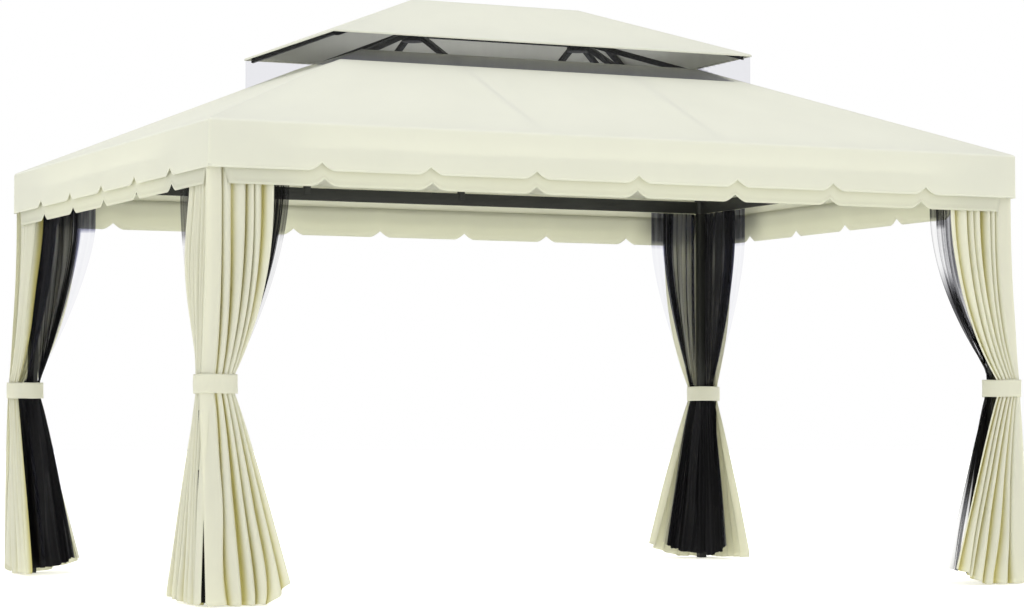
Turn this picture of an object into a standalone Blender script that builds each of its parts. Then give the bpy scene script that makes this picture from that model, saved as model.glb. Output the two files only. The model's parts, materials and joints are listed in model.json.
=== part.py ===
"""Garden gazebo, 4 m by 3 m, with a two-tier fabric roof, corner curtains and insect netting.

The origin is on the ground under the middle of the roof. X runs along the long side, Y along
the short side and Z is up. All sizes are in metres.
"""
import math

import bmesh
import bpy
from mathutils import Vector

# Roof outline in plan, and the ridge that both tiers share
LENGTH = 4.0
WIDTH = 3.0
RIDGE_HALF = 0.445
HALF_L = LENGTH / 2
HALF_W = WIDTH / 2

# Lower roof: the outer surface, its hanging band and the vent opening
EAVE_Z = 2.012
APEX_Z = 2.668
BAND_BOTTOM_Z = 1.810
OPENING_SHARE = 0.28
CLOTH = 0.004

# Scalloped trim that hangs behind the band
TRIM_BOTTOM_Z = 1.745
TRIM_TOP_Z = 1.900
TRIM_END_GAP = 0.070
TRIM_END_SLANT = 0.015
TRIM_THICKNESS = 0.003
SCALLOP_PITCH = 0.5
NOTCH_HALF_WIDTH = 0.057
NOTCH_HEIGHT = 0.033
NOTCH_POWER = 1.5
NOTCH_STEPS = 5

# Upper roof and the mesh that closes the vent under it
UPPER_HALF_L = 1.093
UPPER_HALF_W = 0.598
UPPER_EAVE_Z = 2.545
UPPER_RIDGE_Z = 2.800
VENT_INSET = 0.004
VENT_MESH = 0.003

# Metal frame
POST_INSET = 0.080
POST_SIZE = 0.042
BEAM_THICKNESS = 0.025
BEAM_BOTTOM_Z = 1.925
BEAM_TOP_Z = 1.990
CONNECTOR_HALF = 0.030
CONNECTOR_CHAMFER = 0.012
BRACKET_WIDTH = 0.032
BRACKET_WALL = 0.003
RAFTER_WIDTH = 0.025
RAFTER_DEPTH = 0.028
UPPER_RAFTER_INSET = 0.030
HUB_RADIUS = 0.055
HUB_HEIGHT = 0.046
STEM_RADIUS = 0.014
HEAD_RADIUS = 0.040
HEAD_HEIGHT = 0.036
HUB_STEPS = 32
RIDGE_TUBE = 0.024

# Netting and curtains, gathered outside each post: first the net, then the curtain over it
TIE_Z = 0.915
TIE_HEIGHT = 0.080
TIE_THICKNESS = 0.006
TIE_SEGMENTS = 40
TIE_MARGIN = 0.010
BUNDLE_RADIUS = 0.088
BUNDLE_OFFSET = 0.030
CURTAIN_BOTTOM_Z = 0.020
CURTAIN_TOP_OUT = 0.066
CURTAIN_TOP_ARM = 0.215
CURTAIN_BOTTOM_OUT = 0.120
CURTAIN_BOTTOM_ARM_LONG = 0.280
CURTAIN_BOTTOM_ARM_SHORT = 0.330
CURTAIN_BEARINGS = (math.radians(-46), math.radians(-224))
CURTAIN_TIE_ARM = 0.030
NETTING_BOTTOM_Z = 0.045
NETTING_DEPTH = 0.016
NETTING_TOP_ARM_LONG = 0.320
NETTING_TOP_ARM_SHORT = 0.450
NETTING_BOTTOM_ARM_LONG = 0.260
NETTING_BOTTOM_ARM_SHORT = 0.220
NETTING_TIE_ARM = 0.045
FLARE_HEIGHT = 0.9
TOP_FLARE_POWER = 0.8
BOTTOM_FLARE_POWER = 0.7
DRAPE_POINTS = 9
DRAPE_LOW_STEPS = 5
DRAPE_HIGH_STEPS = 6

# Clearance between touching pieces, and the depth under a roof's outer surface where it is clear
GAP = 0.0003
SOFT_GAP = 0.0005
STEEPEST = (APEX_Z - EAVE_Z) / HALF_W
COVER = CLOTH * math.hypot(1.0, STEEPEST) + GAP
MERGE = 0.0001
SMOOTH_ANGLE = math.radians(35)

CORNERS = {"A": (-1, -1), "B": (1, -1), "C": (-1, 1), "D": (1, 1)}
SIDES = {"left": -1, "right": 1}
FACES = {"front": -1, "back": 1}
POST_X = HALF_L - POST_INSET
POST_Y = HALF_W - POST_INSET


def clear_scene():
    for item in list(bpy.data.objects):
        bpy.data.objects.remove(item)


def new_collection(name):
    collection = bpy.data.collections.new(name)
    bpy.context.scene.collection.children.link(collection)
    return collection


def material(name, colour, roughness, metallic=0.0):
    made = bpy.data.materials.new(name)
    made.use_nodes = True
    shader = made.node_tree.nodes["Principled BSDF"]
    shader.inputs["Base Color"].default_value = (*colour, 1.0)
    shader.inputs["Roughness"].default_value = roughness
    shader.inputs["Metallic"].default_value = metallic
    return made


def add_object(name, bm, collection, finish, smooth=False):
    """Turns a bmesh into a named object, its faces pointing out."""
    bmesh.ops.recalc_face_normals(bm, faces=bm.faces)
    closed = all(edge.is_manifold for edge in bm.edges)
    if closed and bm.calc_volume(signed=True) < 0:
        bmesh.ops.reverse_faces(bm, faces=bm.faces)
    mesh = bpy.data.meshes.new(name)
    bm.to_mesh(mesh)
    bm.free()
    if smooth:
        mesh.shade_smooth()
        mesh.set_sharp_from_angle(angle=SMOOTH_ANGLE)
    made = bpy.data.objects.new(name, mesh)
    collection.objects.link(made)
    if finish:
        mesh.materials.append(finish)
    return made


def solidify(target, thickness, offset):
    shell = target.modifiers.new("Thickness", "SOLIDIFY")
    shell.thickness = thickness
    shell.offset = offset
    shell.use_even_offset = True


def cut_with(target, cutter):
    cut = target.modifiers.new("Cut", "BOOLEAN")
    cut.operation = "DIFFERENCE"
    cut.object = cutter


def roof_z(x, y):
    """Height of the lower roof's outer surface."""
    along = (abs(x) - RIDGE_HALF) / (HALF_L - RIDGE_HALF)
    across = abs(y) / HALF_W
    return APEX_Z - (APEX_Z - EAVE_Z) * max(along, across)


def upper_roof_z(x, y):
    """Height of the upper roof's outer surface."""
    along = (abs(x) - RIDGE_HALF) / (UPPER_HALF_L - RIDGE_HALF)
    across = abs(y) / UPPER_HALF_W
    return UPPER_RIDGE_Z - (UPPER_RIDGE_Z - UPPER_EAVE_Z) * max(along, across, 0.0)


def box(name, low, high, collection, finish):
    """A box between two opposite corners."""
    bm = bmesh.new()
    bmesh.ops.create_cube(bm, size=1.0)
    low, high = Vector(low), Vector(high)
    size = high - low
    for vert in bm.verts:
        vert.co = Vector((vert.co.x * size.x, vert.co.y * size.y, vert.co.z * size.z))
    made = add_object(name, bm, collection, finish)
    made.location = (low + high) / 2
    return made


def sloping_bar(name, start, end, width, depth, collection, finish):
    """A bar with plumb-cut ends: width is level, depth is measured straight up."""
    bm = bmesh.new()
    bmesh.ops.create_cube(bm, size=1.0)
    start, end = Vector(start), Vector(end)
    along = Vector((end.x - start.x, end.y - start.y, 0.0))
    across = Vector((-along.y, along.x, 0.0)).normalized()
    middle = (start + end) / 2
    for vert in bm.verts:
        point = end if vert.co.x > 0 else start
        level = vert.co.z * depth
        vert.co = point + across * (vert.co.y * width) + Vector((0, 0, level)) - middle
    made = add_object(name, bm, collection, finish)
    made.location = middle
    return made


def ring_shell(rings):
    """Walls between level rectangles, each given as half length, half width and height."""
    bm = bmesh.new()
    bmesh.ops.create_grid(bm, x_segments=1, y_segments=1, size=1.0)
    edges = list(bm.edges)
    half_l, half_w, height = rings[0]
    for vert in bm.verts:
        vert.co = (math.copysign(half_l, vert.co.x), math.copysign(half_w, vert.co.y), height)
    bmesh.ops.delete(bm, geom=list(bm.faces), context="FACES_ONLY")
    for half_l, half_w, height in rings[1:]:
        grown = bmesh.ops.extrude_edge_only(bm, edges=edges)["geom"]
        edges = [item for item in grown if isinstance(item, bmesh.types.BMEdge)]
        for vert in [item for item in grown if isinstance(item, bmesh.types.BMVert)]:
            sign_x = math.copysign(1.0, vert.co.x)
            sign_y = math.copysign(1.0, vert.co.y)
            vert.co = (sign_x * half_l, sign_y * half_w, height)
    bmesh.ops.remove_doubles(bm, verts=bm.verts, dist=MERGE)
    return bm


def notch_outline(middle, bottom):
    """One scallop notch: a pointed peak between two concave flanks, open at the bottom."""
    points = []
    for index in range(NOTCH_STEPS + 1):
        share = index / NOTCH_STEPS
        rise = NOTCH_HEIGHT * share ** NOTCH_POWER
        points.append((middle - NOTCH_HALF_WIDTH * (1 - share), bottom + rise))
    mirrored = [(2 * middle - along, height) for along, height in reversed(points[:-1])]
    below = bottom - NOTCH_HEIGHT
    left = (middle - NOTCH_HALF_WIDTH, below)
    right = (middle + NOTCH_HALF_WIDTH, below)
    return [left] + points + mirrored + [right]


def notch_cutter(name, length, reach, bottom, axis, cutters):
    """Prisms that cut every notch of two facing sides in one go."""
    bm = bmesh.new()
    count = round(length / SCALLOP_PITCH) - 1
    for index in range(count):
        middle = (index + 1) * SCALLOP_PITCH - length / 2
        outline = notch_outline(middle, bottom)
        if axis == "x":
            ends = [(along, -reach, height) for along, height in outline]
            push = Vector((0, 2 * reach, 0))
        else:
            ends = [(-reach, along, height) for along, height in outline]
            push = Vector((2 * reach, 0, 0))
        face = bm.faces.new([bm.verts.new(point) for point in ends])
        grown = bmesh.ops.extrude_face_region(bm, geom=[face])["geom"]
        moved = [item for item in grown if isinstance(item, bmesh.types.BMVert)]
        bmesh.ops.translate(bm, verts=moved, vec=push)
    made = add_object(name, bm, cutters, None)
    made.hide_render = True
    made.display_type = "WIRE"
    return made


def add_lower_roof(collection, cutters, cloth):
    """The lower cloth roof with its band, the vent opening and the scalloped edge."""
    open_w = HALF_W * OPENING_SHARE
    open_l = RIDGE_HALF + (HALF_L - RIDGE_HALF) * OPENING_SHARE
    rings = [
        (open_l, open_w, roof_z(open_l, open_w)),
        (HALF_L, HALF_W, EAVE_Z),
        (HALF_L, HALF_W, BAND_BOTTOM_Z),
    ]
    roof = add_object("canopy_lower", ring_shell(rings), collection, cloth)
    solidify(roof, CLOTH, -1.0)
    for axis, length in (("x", LENGTH), ("y", WIDTH)):
        reach = HALF_L + HALF_W
        cutter = notch_cutter(f"band_notches_{axis}", length, reach, BAND_BOTTOM_Z, axis, cutters)
        cut_with(roof, cutter)


def add_trims(collection, cutters, cloth):
    """One scalloped strip behind each side of the band."""
    depth = TRIM_TOP_Z - TRIM_BOTTOM_Z
    for axis, length, other in (("x", LENGTH, HALF_W), ("y", WIDTH, HALF_L)):
        reach = HALF_L + HALF_W
        cutter = notch_cutter(f"trim_notches_{axis}", length, reach, TRIM_BOTTOM_Z, axis, cutters)
        half = length / 2 - TRIM_END_GAP
        outer = other - CLOTH - GAP
        inner = outer - TRIM_THICKNESS
        names = FACES if axis == "x" else SIDES
        for name, sign in names.items():
            bm = bmesh.new()
            bmesh.ops.create_cube(bm, size=2.0)
            for vert in bm.verts:
                slant = TRIM_END_SLANT if vert.co.z < 0 else 0.0
                along = vert.co.x * (half - slant)
                across = sign * (outer if vert.co.y > 0 else inner)
                height = TRIM_BOTTOM_Z + depth * (vert.co.z + 1) / 2
                place = (along, across, height) if axis == "x" else (across, along, height)
                vert.co = place
            trim = add_object(f"trim_{name}", bm, collection, cloth)
            cut_with(trim, cutter)


def add_upper_roof(collection, cloth, mesh_cloth):
    """The upper cloth roof, and the mesh wall that hangs from it to the lower roof."""
    rings = [
        (UPPER_HALF_L, UPPER_HALF_W, UPPER_EAVE_Z),
        (RIDGE_HALF, 0.0, UPPER_RIDGE_Z),
    ]
    roof = add_object("canopy_upper", ring_shell(rings), collection, cloth)
    solidify(roof, CLOTH, -1.0)

    top_l = UPPER_HALF_L - VENT_INSET
    top_w = UPPER_HALF_W - VENT_INSET
    top_z = upper_roof_z(0.0, top_w) - COVER
    share = (top_w - VENT_MESH) / HALF_W
    bottom_l = RIDGE_HALF + (HALF_L - RIDGE_HALF) * share + VENT_MESH
    bottom_z = roof_z(0.0, top_w - VENT_MESH) + SOFT_GAP
    rings = [(top_l, top_w, top_z), (bottom_l, top_w, bottom_z)]
    wall = add_object("vent_mesh", ring_shell(rings), collection, mesh_cloth)
    solidify(wall, VENT_MESH, -1.0)


def add_posts(collection, metal):
    half = POST_SIZE / 2
    for name, (sx, sy) in CORNERS.items():
        low = (sx * POST_X - half, sy * POST_Y - half, 0.0)
        high = (sx * POST_X + half, sy * POST_Y + half, BEAM_BOTTOM_Z - GAP)
        box(f"post_{name}", low, high, collection, metal)


def add_connectors(collection, metal):
    """A chamfered block on each post, its top cut to the slope of the roof."""
    for name, (sx, sy) in CORNERS.items():
        bm = bmesh.new()
        bmesh.ops.create_cube(bm, size=2 * CONNECTOR_HALF)
        upright = [edge for edge in bm.edges if edge.verts[0].co.z * edge.verts[1].co.z < 0]
        bmesh.ops.bevel(bm, geom=upright, offset=CONNECTOR_CHAMFER, segments=1, affect="EDGES")
        for vert in bm.verts:
            x = sx * POST_X + vert.co.x
            y = sy * POST_Y + vert.co.y
            vert.co.z = roof_z(x, y) - COVER if vert.co.z > 0 else BEAM_BOTTOM_Z
        made = add_object(f"corner_{name}", bm, collection, metal)
        made.location = (sx * POST_X, sy * POST_Y, 0.0)


def add_beams(collection, metal):
    """Four eave beams between the corner connectors."""
    half = BEAM_THICKNESS / 2
    end_x = POST_X - CONNECTOR_HALF - GAP
    end_y = POST_Y - CONNECTOR_HALF - GAP
    for name, sign in FACES.items():
        low = (-end_x, sign * POST_Y - half, BEAM_BOTTOM_Z)
        high = (end_x, sign * POST_Y + half, BEAM_TOP_Z)
        box(f"beam_{name}", low, high, collection, metal)
    for name, sign in SIDES.items():
        low = (sign * POST_X - half, -end_y, BEAM_BOTTOM_Z)
        high = (sign * POST_X + half, end_y, BEAM_TOP_Z)
        box(f"beam_{name}", low, high, collection, metal)


def add_brackets(collection, metal):
    """A saddle over each long beam where a side rafter lands, its top cut to the roof slope."""
    half_x = BRACKET_WIDTH / 2
    inner = BEAM_THICKNESS / 2 + GAP
    outer = inner + BRACKET_WALL
    skirt_z = (BEAM_BOTTOM_Z + BEAM_TOP_Z) / 2
    for face, sy in FACES.items():
        for side, sx in SIDES.items():
            outline = [
                (-outer, skirt_z), (-inner, skirt_z), (-inner, BEAM_TOP_Z + GAP),
                (inner, BEAM_TOP_Z + GAP), (inner, skirt_z), (outer, skirt_z),
                (outer, None), (-outer, None),
            ]
            bm = bmesh.new()
            verts = []
            for across, height in outline:
                y = sy * POST_Y + across
                height = height or roof_z(0.0, y) - COVER
                verts.append(bm.verts.new((sx * RIDGE_HALF - half_x, y, height)))
            face_made = bm.faces.new(verts)
            grown = bmesh.ops.extrude_face_region(bm, geom=[face_made])["geom"]
            moved = [item for item in grown if isinstance(item, bmesh.types.BMVert)]
            bmesh.ops.translate(bm, verts=moved, vec=(BRACKET_WIDTH, 0, 0))
            add_object(f"bracket_{face}_{side}", bm, collection, metal)


def add_hubs(collection, metal):
    """Two ridge hubs: a lower disc for the rafters, a stem and an upper head."""
    low = roof_z(0.0, HUB_RADIUS) - COVER - HUB_HEIGHT
    disc_top = low + HUB_HEIGHT
    head_top = upper_roof_z(0.0, HEAD_RADIUS) - COVER
    head_low = head_top - HEAD_HEIGHT
    profile = [
        (0.0, head_top), (HEAD_RADIUS, head_top), (HEAD_RADIUS, head_low),
        (STEM_RADIUS, head_low), (STEM_RADIUS, disc_top), (HUB_RADIUS, disc_top),
        (HUB_RADIUS, low), (0.0, low),
    ]
    for side, sx in SIDES.items():
        mesh = bpy.data.meshes.new(f"hub_{side}")
        verts = [(radius, 0.0, height - low) for radius, height in profile]
        edges = [(index, index + 1) for index in range(len(verts) - 1)]
        mesh.from_pydata(verts, edges, [])
        mesh.materials.append(metal)
        hub = bpy.data.objects.new(f"hub_{side}", mesh)
        collection.objects.link(hub)
        hub.location = (sx * RIDGE_HALF, 0.0, low)
        turn = hub.modifiers.new("Turn", "SCREW")
        turn.steps = HUB_STEPS
        turn.render_steps = HUB_STEPS
        turn.use_merge_vertices = True
        turn.merge_threshold = MERGE


def rafter_z(surface, point, way):
    """Height of a rafter's centre line where its top edges just clear the cloth above."""
    side = Vector((-way.y, way.x, 0.0)).normalized() * RAFTER_WIDTH / 2
    edges = (point + side, point - side)
    return min(surface(edge.x, edge.y) for edge in edges) - COVER - RAFTER_DEPTH / 2


def add_lower_rafters(collection, metal):
    """Hip rafters to the corners and side rafters to the long beams."""
    bar = (RAFTER_WIDTH, RAFTER_DEPTH, collection, metal)
    for name, (sx, sy) in CORNERS.items():
        hub = Vector((sx * RIDGE_HALF, 0.0, 0.0))
        post = Vector((sx * POST_X, sy * POST_Y, 0.0))
        way = (post - hub).normalized()
        chamfer = (2 * CONNECTOR_HALF - CONNECTOR_CHAMFER) / math.sqrt(2)
        start = hub + way * (HUB_RADIUS + GAP)
        end = post - way * (chamfer + 2 * GAP)
        start.z = rafter_z(roof_z, start, way)
        end.z = rafter_z(roof_z, end, way)
        sloping_bar(f"hip_rafter_{name}", start, end, *bar)
    saddle = BEAM_THICKNESS / 2 + GAP + BRACKET_WALL
    for face, sy in FACES.items():
        for side, sx in SIDES.items():
            way = Vector((0.0, sy, 0.0))
            start = Vector((sx * RIDGE_HALF, 0.0, 0.0)) + way * (HUB_RADIUS + GAP)
            end = Vector((sx * RIDGE_HALF, 0.0, 0.0)) + way * (POST_Y - saddle - GAP)
            start.z = rafter_z(roof_z, start, way)
            end.z = rafter_z(roof_z, end, way)
            sloping_bar(f"side_rafter_{face}_{side}", start, end, *bar)


def add_ridges(collection, metal):
    """Ridge tubes between the hubs, one at each tier."""
    half = RIDGE_TUBE / 2
    lower = roof_z(0.0, HUB_RADIUS) - COVER - half
    end = RIDGE_HALF - HUB_RADIUS - GAP
    box("ridge_lower", (-end, -half, lower - half), (end, half, lower + half), collection, metal)
    top = upper_roof_z(0.0, half) - COVER
    end = RIDGE_HALF - HEAD_RADIUS - GAP
    box("ridge_upper", (-end, -half, top - RIDGE_TUBE), (end, half, top), collection, metal)


def add_upper_rafters(collection, metal):
    """Short hip rafters that hold out the corners of the upper roof."""
    bar = (RAFTER_WIDTH, RAFTER_DEPTH, collection, metal)
    for name, (sx, sy) in CORNERS.items():
        hub = Vector((sx * RIDGE_HALF, 0.0, 0.0))
        tip_x = sx * (UPPER_HALF_L - UPPER_RAFTER_INSET)
        tip_y = sy * (UPPER_HALF_W - UPPER_RAFTER_INSET)
        tip = Vector((tip_x, tip_y, 0.0))
        way = (tip - hub).normalized()
        start = hub + way * (HEAD_RADIUS + GAP)
        start.z = rafter_z(upper_roof_z, start, way)
        tip.z = rafter_z(upper_roof_z, tip, way)
        sloping_bar(f"upper_rafter_{name}", start, tip, *bar)


def smooth_share(value):
    value = min(max(value, 0.0), 1.0)
    return value * value * (3 - 2 * value)


def arc_points(first, last, count):
    """Points on the bundle's edge between two bearings, in the corner's own plan."""
    points = []
    for index in range(count):
        bearing = first + (last - first) * index / (count - 1)
        x = BUNDLE_RADIUS * math.cos(bearing) - BUNDLE_OFFSET
        y = BUNDLE_RADIUS * math.sin(bearing) - BUNDLE_OFFSET
        points.append((x, y))
    return points


def between(first, second, share):
    return (
        first[0] + (second[0] - first[0]) * share,
        first[1] + (second[1] - first[1]) * share,
    )


def bent_path(first, corner, last, count):
    """Points along an L, from its first end round its corner to its last end."""
    points = []
    for index in range(count):
        share = 2 * index / (count - 1)
        if share < 1:
            points.append(between(first, corner, share))
        else:
            points.append(between(corner, last, share - 1))
    return points


def blend(first, second, share):
    return [between(a, b, share) for a, b in zip(first, second)]


def wing_path(depth, arm_long, arm_short, count):
    """An L outside the post, this deep from its centre, with one arm along each side."""
    return bent_path((arm_long, -depth), (-depth, -depth), (-depth, arm_short), count)


def drape_section(kind, height):
    """Outer and inner edge of a curtain or net at one height, in the corner's own plan.

    The plan's axes point inwards along the long and the short side, from the post's centre.
    """
    count = DRAPE_POINTS
    above = height > TIE_Z
    inside = POST_SIZE / 2 + SOFT_GAP
    outside = inside + NETTING_DEPTH
    if kind == "netting":
        tie_arms = (NETTING_TIE_ARM, NETTING_TIE_ARM)
        arms = (NETTING_BOTTOM_ARM_LONG, NETTING_BOTTOM_ARM_SHORT)
        if above:
            arms = (NETTING_TOP_ARM_LONG, NETTING_TOP_ARM_SHORT)
        tie_outer = wing_path(outside, *tie_arms, count)
    else:
        inside = outside + SOFT_GAP
        tie_arms = (CURTAIN_TIE_ARM, CURTAIN_TIE_ARM)
        arms = (CURTAIN_BOTTOM_ARM_LONG, CURTAIN_BOTTOM_ARM_SHORT)
        outside = CURTAIN_BOTTOM_OUT
        if above:
            arms = (CURTAIN_TOP_ARM, CURTAIN_TOP_ARM)
            outside = CURTAIN_TOP_OUT
        tie_outer = arc_points(*CURTAIN_BEARINGS, count)
    tie_inner = wing_path(inside, *tie_arms, count)
    wide_outer = wing_path(outside, *arms, count)
    wide_inner = wing_path(inside, *arms, count)
    away = abs(height - TIE_Z) - TIE_HEIGHT / 2 - TIE_MARGIN
    power = TOP_FLARE_POWER if above else BOTTOM_FLARE_POWER
    share = smooth_share(away / FLARE_HEIGHT) ** power
    return blend(tie_outer, wide_outer, share), blend(tie_inner, wide_inner, share)


def even_steps(first, last, steps):
    return [first + (last - first) * index / steps for index in range(steps + 1)]


def add_drape(name, kind, signs, bottom, collection, cloth):
    """One gathered curtain or net as a closed solid, lofted through level sections."""
    sx, sy = signs
    top = BEAM_BOTTOM_Z - SOFT_GAP
    half_tie = TIE_HEIGHT / 2 + TIE_MARGIN
    heights = even_steps(bottom, TIE_Z - half_tie, DRAPE_LOW_STEPS)
    heights += even_steps(TIE_Z + half_tie, top, DRAPE_HIGH_STEPS)
    bm = bmesh.new()
    loops = []
    for height in heights:
        outer, inner = drape_section(kind, height)
        outline = outer + inner[::-1]
        if sx * sy < 0:
            outline.reverse()
        loop = []
        for u, v in outline:
            place = (sx * (POST_X - u), sy * (POST_Y - v), height)
            loop.append(bm.verts.new(place))
        loops.append(loop)
    for below, above in zip(loops, loops[1:]):
        for index in range(len(below)):
            follow = (index + 1) % len(below)
            bm.faces.new((below[index], below[follow], above[follow], above[index]))
    half = len(loops[0]) // 2
    for loop in (loops[0], loops[-1]):
        for index in range(half - 1):
            last = len(loop) - 1 - index
            bm.faces.new((loop[index], loop[index + 1], loop[last - 1], loop[last]))
    add_object(name, bm, collection, cloth, smooth=True)


def add_ties(collection, cloth):
    """The cloth band round each gathered bundle."""
    for name, (sx, sy) in CORNERS.items():
        bm = bmesh.new()
        radius = BUNDLE_RADIUS + SOFT_GAP
        bmesh.ops.create_cone(
            bm, cap_ends=False, segments=TIE_SEGMENTS,
            radius1=radius, radius2=radius, depth=TIE_HEIGHT,
        )
        x = sx * (POST_X + BUNDLE_OFFSET)
        y = sy * (POST_Y + BUNDLE_OFFSET)
        band = add_object(f"tie_{name}", bm, collection, cloth, smooth=True)
        band.location = (x, y, TIE_Z)
        solidify(band, TIE_THICKNESS, 1.0)


def main():
    clear_scene()
    gazebo = new_collection("garden_gazebo")
    cutters = new_collection("cutters")
    metal = material("dark_powder_coat", (0.027, 0.027, 0.024), 0.45, 0.6)
    cloth = material("cream_canopy_cloth", (0.80, 0.81, 0.68), 0.85)
    drape = material("cream_curtain_cloth", (0.79, 0.80, 0.66), 0.9)
    netting = material("black_netting", (0.02, 0.02, 0.022), 0.8)
    vent = material("black_vent_mesh", (0.10, 0.10, 0.11), 0.8)

    add_posts(gazebo, metal)
    add_connectors(gazebo, metal)
    add_beams(gazebo, metal)
    add_brackets(gazebo, metal)
    add_hubs(gazebo, metal)
    add_ridges(gazebo, metal)
    add_lower_rafters(gazebo, metal)
    add_upper_rafters(gazebo, metal)
    add_lower_roof(gazebo, cutters, cloth)
    add_trims(gazebo, cutters, cloth)
    add_upper_roof(gazebo, cloth, vent)
    for name, signs in CORNERS.items():
        add_drape(f"curtain_{name}", "curtain", signs, CURTAIN_BOTTOM_Z, gazebo, drape)
        add_drape(f"netting_{name}", "netting", signs, NETTING_BOTTOM_Z, gazebo, netting)
    add_ties(gazebo, drape)


main()
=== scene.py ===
"""Garden gazebo: cloth, net and frame finishes laid over the fixed model frame.

Everything is in metres, in the frame's own axes: X along the long side, Y along the short side
away from the camera, Z up, and the origin on the ground under the middle of the roof.
"""
import json
import math

import bmesh
import bpy
from bpy.props import FloatProperty, FloatVectorProperty, IntProperty, PointerProperty
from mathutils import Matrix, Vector, noise


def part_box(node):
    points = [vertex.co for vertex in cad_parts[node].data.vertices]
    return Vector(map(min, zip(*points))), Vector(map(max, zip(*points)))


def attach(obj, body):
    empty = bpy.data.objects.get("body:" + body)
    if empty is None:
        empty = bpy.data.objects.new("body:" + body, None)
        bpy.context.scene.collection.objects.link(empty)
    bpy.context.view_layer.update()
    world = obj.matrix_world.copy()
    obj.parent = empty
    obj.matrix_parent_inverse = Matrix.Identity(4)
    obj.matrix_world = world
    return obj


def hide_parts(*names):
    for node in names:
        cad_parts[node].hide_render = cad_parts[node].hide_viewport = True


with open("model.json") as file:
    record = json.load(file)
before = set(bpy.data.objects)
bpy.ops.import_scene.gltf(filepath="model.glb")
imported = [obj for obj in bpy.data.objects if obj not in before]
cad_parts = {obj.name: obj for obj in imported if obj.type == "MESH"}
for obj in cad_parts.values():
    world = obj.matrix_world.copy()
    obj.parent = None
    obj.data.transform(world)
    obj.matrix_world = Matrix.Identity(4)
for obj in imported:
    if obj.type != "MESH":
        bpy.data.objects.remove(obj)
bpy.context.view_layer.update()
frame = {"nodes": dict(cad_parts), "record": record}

bl_info = {
    "name": "Garden gazebo",
    "version": (1, 0, 0),
    "blender": (4, 5, 0),
    "location": "View3D > Sidebar > Gazebo",
    "description": "Builds the gazebo's roofs, curtains, nets, frame finish and stage",
    "category": "Add Mesh",
}

METAL_SLOT = "frame_metal"

CORNERS = {"A": (-1, -1), "B": (1, -1), "C": (-1, 1), "D": (1, 1)}
SIDES = ("front", "right", "back", "left")

# Places read from the frame, so that new pieces follow it
ROOF_LOW, ROOF_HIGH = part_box("canopy_lower")
HALF_L, HALF_W = ROOF_HIGH.x, ROOF_HIGH.y
UPPER_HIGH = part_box("canopy_upper")[1]
UPPER_HALF_L, UPPER_HALF_W = UPPER_HIGH.x, UPPER_HIGH.y
POST_LOW, POST_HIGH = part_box("post_D")
POST_X = (POST_LOW.x + POST_HIGH.x) / 2
POST_Y = (POST_LOW.y + POST_HIGH.y) / 2
BEAM_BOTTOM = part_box("beam_front")[0].z
TIE_LOW, TIE_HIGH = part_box("tie_D")
TIE_MIDDLE = (TIE_LOW.z + TIE_HIGH.z) / 2
TIE_RADIUS = (TIE_HIGH.x - TIE_LOW.x) / 2
TIE_OFFSET = (TIE_HIGH.x + TIE_LOW.x) / 2 - POST_X

MERGE = 0.00001
COLUMN_STEP = 0.024
# Drawn spacing of the threads and of the net's mesh. The real ones are about 0.5 mm and 1.2 mm,
# too fine to show, so they are drawn as coarse as they need
THREAD = 0.003
MESH = 0.004


def linear(hex_colour):
    """An sRGB hex colour as the linear numbers that shaders take."""
    parts = [int(hex_colour[start:start + 2], 16) / 255 for start in (1, 3, 5)]
    return [part / 12.92 if part <= 0.04045 else ((part + 0.055) / 1.055) ** 2.4 for part in parts]


def length_property(name, description, default):
    """A length in metres for a property group."""
    return FloatProperty(
        name=name, description=description, default=default, min=0.0, unit="LENGTH", precision=4,
    )


def colour_property(name, description, default):
    """A colour for a property group, from its sRGB hex value."""
    return FloatVectorProperty(
        name=name, description=description, default=linear(default),
        subtype="COLOR", size=3, min=0.0, max=1.0,
    )


class GazeboFrameSettings(bpy.types.PropertyGroup):
    """Finish of the steel frame"""

    colour: colour_property("Frame colour", "Colour of the powder coat", "#242523")
    bevel: length_property("Edge radius", "Rounding of the tubes' corners", 0.0025)
    orange_peel: length_property("Coat ripple", "Size of the ripples in the powder coat", 0.0025)


class GazeboRoofSettings(bpy.types.PropertyGroup):
    """Sizes and colours of the two roofs and their trims"""

    colour: colour_property("Roof colour", "Colour of the canopy cloth", "#EFF0E4")
    # Painted shade: the trims are drawn darker than the roof for the shade they hang in behind the
    # band
    shaded_trim_colour: colour_property("Trim colour", "Colour of the scalloped trims", "#E4E5D5")
    ridge_half: length_property("Ridge half length", "Half the length of the ridge", 0.445)
    peak: length_property("Peak height", "Height at which the lower slopes would meet", 2.668)
    eave: length_property("Eave height", "Height of the fold between slope and band", 2.012)
    opening: FloatProperty(
        name="Vent opening", description="Share of each slope that the vent leaves open",
        default=0.28, min=0.05, max=0.9, subtype="FACTOR",
    )
    pitch: length_property("Scallop pitch", "Distance between two notches of the edge", 0.5)
    notch_half: length_property("Notch half width", "Half the width of a notch", 0.057)
    notch_rise: length_property("Notch height", "Height of a notch", 0.033)
    thickness: length_property("Cloth thickness", "Thickness of the canopy cloth", 0.0012)
    sag: length_property("Sag", "Depth of the sag between two rafters", 0.003)
    hem: length_property("Hem width", "Width of the hem along the scalloped edge", 0.012)
    upper_ridge: length_property("Upper ridge height", "Height of the upper roof's ridge", 2.8)
    upper_eave: length_property("Upper eave height", "Height of the upper roof's edge", 2.545)


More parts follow.
